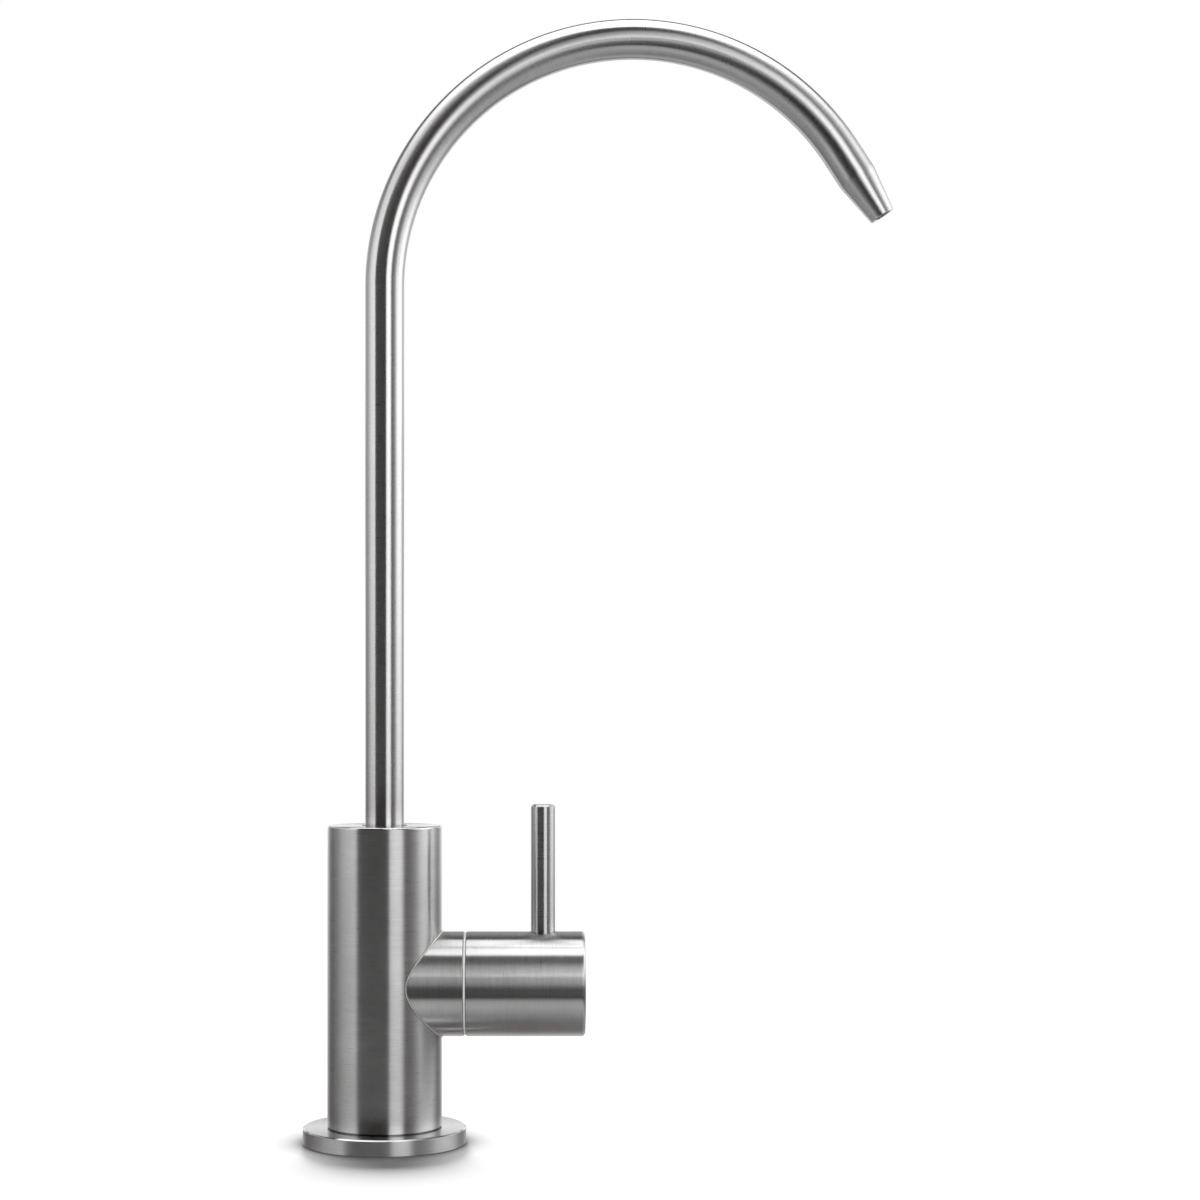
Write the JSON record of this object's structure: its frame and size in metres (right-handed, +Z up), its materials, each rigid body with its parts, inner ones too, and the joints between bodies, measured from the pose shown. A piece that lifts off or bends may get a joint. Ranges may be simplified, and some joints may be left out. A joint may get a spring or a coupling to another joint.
{
  "type": "drinking-water filter tap",
  "caption": "Deck-mounted gooseneck tap for an under-sink water filter, in brushed stainless steel, with a side valve, an upright lever and a push-fit inlet.",
  "frame": {"origin": "on the barrel's axis, at the deck surface under the flange", "axes": "+Z up along the barrel, +X along the valve's axis towards the lever and the spout's tip, -Y towards the user"},
  "size_m": [0.1509, 0.0418, 0.3656],
  "materials": {
    "stainless_brushed": "brushed round the axis",
    "stainless_polished": "near-mirror top, brushed rim",
    "stainless_tube": "fine satin, drawn along the tube",
    "stainless_turned": "turned",
    "spring_steel": "oiled",
    "brass": "turned",
    "rubber_black": "matte",
    "ceramic_white": "lapped ceramic",
    "acetal_white": "moulded",
    "acetal_black": "moulded",
    "acetal_blue": "moulded"
  },
  "bodies": {
    "tap_body": {"base_flange": "stainless_polished", "flange_gasket": "rubber_black", "barrel": "stainless_brushed", "valve_branch": "stainless_brushed", "seat_seal": "rubber_black", "fixed_disc": "ceramic_white", "cartridge_body": "brass", "cartridge_oring": "rubber_black", "thrust_washer": "acetal_white", "bonnet_nut": "brass", "trim_ring": "acetal_white", "spout_circlip": "spring_steel", "spout_bush": "acetal_black", "inlet_shank": "stainless_turned", "shank_oring": "rubber_black", "clamp_gasket": "rubber_black", "clamp_washer": "stainless_turned", "lock_washer": "spring_steel", "mounting_nut": "stainless_turned", "face_seal": "rubber_black", "inlet_adapter": "acetal_white", "tube_seal": "rubber_black"},
    "spout": {"spout_tube": "stainless_tube", "spout_ferrule": "brass", "spout_orings": "rubber_black"},
    "handle": {"lever_hub": "stainless_brushed", "lever_rod": "stainless_tube", "grub_screw": "spring_steel", "valve_spindle": "brass", "moving_disc": "ceramic_white", "spindle_orings": "rubber_black", "spindle_clip": "spring_steel"},
    "collet": {"release_collet": "acetal_blue"}
  },
  "joints": [
    {"name": "spout_swivel", "type": "hinge", "parent": "tap_body", "child": "spout", "pos_m": [0, 0, 0], "axis": [0, 0, 1], "continuous": true},
    {"name": "handle_turn", "type": "hinge", "parent": "tap_body", "child": "handle", "pos_m": [0, 0, 0.0406], "axis": [1, 0, 0], "range_deg": [0, 90]},
    {"name": "collet_release", "type": "slide", "parent": "tap_body", "child": "collet", "axis": [0, 0, 1], "range_m": [0, 0.0015]}
  ]
}
